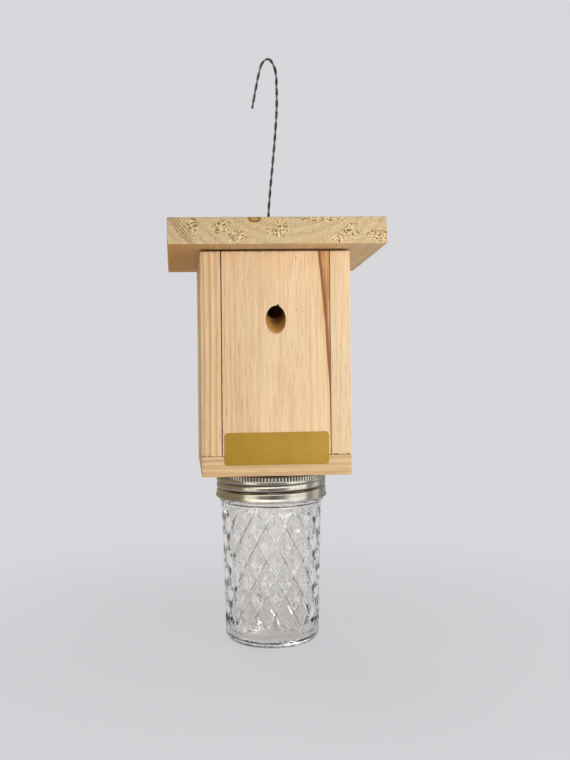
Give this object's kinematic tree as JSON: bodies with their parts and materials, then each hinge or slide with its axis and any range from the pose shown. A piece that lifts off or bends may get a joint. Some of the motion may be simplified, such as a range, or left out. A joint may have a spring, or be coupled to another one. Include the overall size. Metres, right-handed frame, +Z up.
{
  "type": "carpenter bee trap",
  "caption": "Hanging carpenter bee trap: pine box with slanting entry holes under a sloping roof, a screw-on glass jar below and a twisted wire hook on top.",
  "frame": {"origin": "centre of the bounding box in plan, at the underside of the jar, which is also the axis of the jar, its band and the hanging wire", "axes": "+Z up along the jar's axis, -Y towards the front of the box with its entry hole and label plate, +X to the right seen from the front"},
  "size_m": [0.1334, 0.1344, 0.3827],
  "materials": {
    "pine": "bare planed pine",
    "roof_pine": "bare pine with sawn ends",
    "gold_label": "bare satin gold-coloured sheet",
    "band_steel": "satin plated sheet steel, knurled",
    "tinplate": "plated sheet steel",
    "sealant": "soft plastisol ring",
    "clear_glass": "clear pressed glass",
    "dark_wire": "dark galvanised wire",
    "nail_steel": "bright steel"
  },
  "bodies": {
    "box": {"back_board": "pine", "bottom_board": "pine", "bottom_nail_1": "nail_steel", "bottom_nail_2": "nail_steel", "bottom_nail_3": "nail_steel", "bottom_nail_4": "nail_steel", "front_board": "pine", "hanger_washer": "tinplate", "jar_lid": "tinplate", "label_plate": "gold_label", "left_nail_1": "nail_steel", "left_nail_2": "nail_steel", "left_nail_3": "nail_steel", "left_nail_4": "nail_steel", "left_side_board": "pine", "lid_gasket": "sealant", "lid_screw_1": "nail_steel", "lid_screw_2": "nail_steel", "lid_screw_3": "nail_steel", "right_nail_1": "nail_steel", "right_nail_2": "nail_steel", "right_nail_3": "nail_steel", "right_nail_4": "nail_steel", "right_side_board": "pine", "roof_board": "roof_pine", "roof_nail_1": "nail_steel", "roof_nail_2": "nail_steel", "roof_nail_3": "nail_steel", "roof_nail_4": "nail_steel"},
    "band": {"jar_band": "band_steel"},
    "jar": {"glass_jar": "clear_glass"},
    "hanger": {"hanger_strand_a": "dark_wire", "hanger_strand_b": "dark_wire"}
  },
  "joints": [
    {"name": "band_turn", "type": "hinge", "parent": "box", "child": "band", "pos_m": [0, 0, 0.104], "axis": [0, 0, 1], "range_deg": [0, 540]},
    {"name": "jar_drop", "type": "slide", "parent": "box", "child": "jar", "axis": [0, 0, -1], "range_m": [0, 0.00635]},
    {"name": "hanger_swivel", "type": "hinge", "parent": "box", "child": "hanger", "pos_m": [0, 0, 0.26], "axis": [0, 0, 1], "continuous": true}
  ],
  "couplings": [
    {"joint": "band_turn", "follows": "jar_drop", "rad_per_m": 1484.2}
  ]
}
